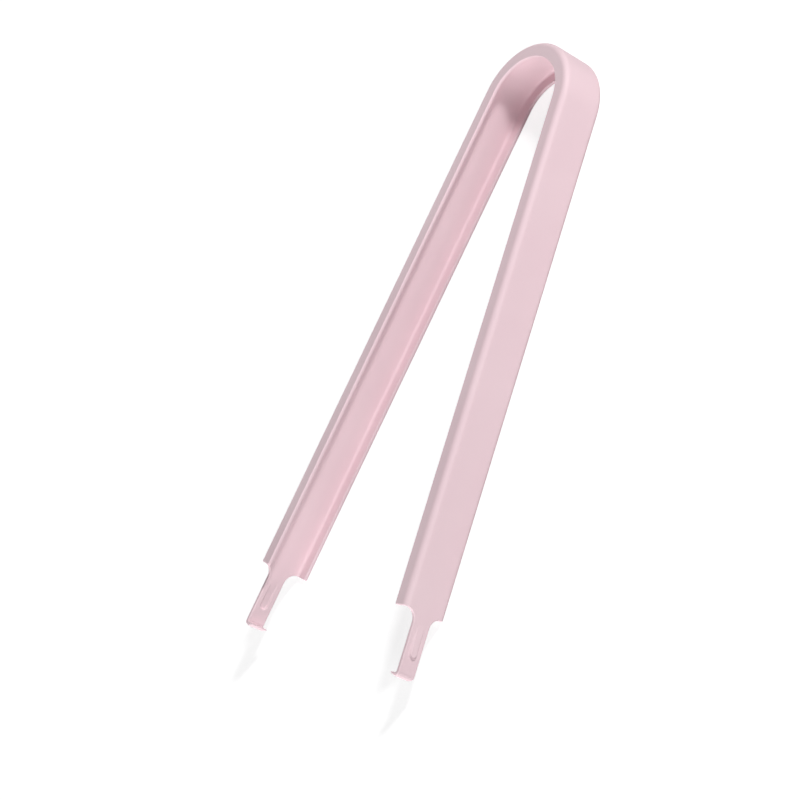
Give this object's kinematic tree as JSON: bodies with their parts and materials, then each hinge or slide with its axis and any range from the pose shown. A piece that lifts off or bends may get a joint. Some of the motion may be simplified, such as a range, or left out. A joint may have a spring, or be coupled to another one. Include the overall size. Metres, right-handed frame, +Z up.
{
  "type": "switch puller",
  "caption": "Hairpin spring-steel puller with channelled arms and inward claws that lift a keyboard switch out of its plate.",
  "frame": {"origin": "centre of the bounding box at the base, where the lower side edge rests on a table", "axes": "+X along the length, towards the bend; +Z up across the strip's width; the two arms lie either side of the XZ plane"},
  "size_m": [0.0844, 0.035, 0.0068],
  "materials": {
    "pink_coat": "satin"
  },
  "bodies": {
    "root": {"puller_strip": "pink_coat"}
  },
  "joints": []
}
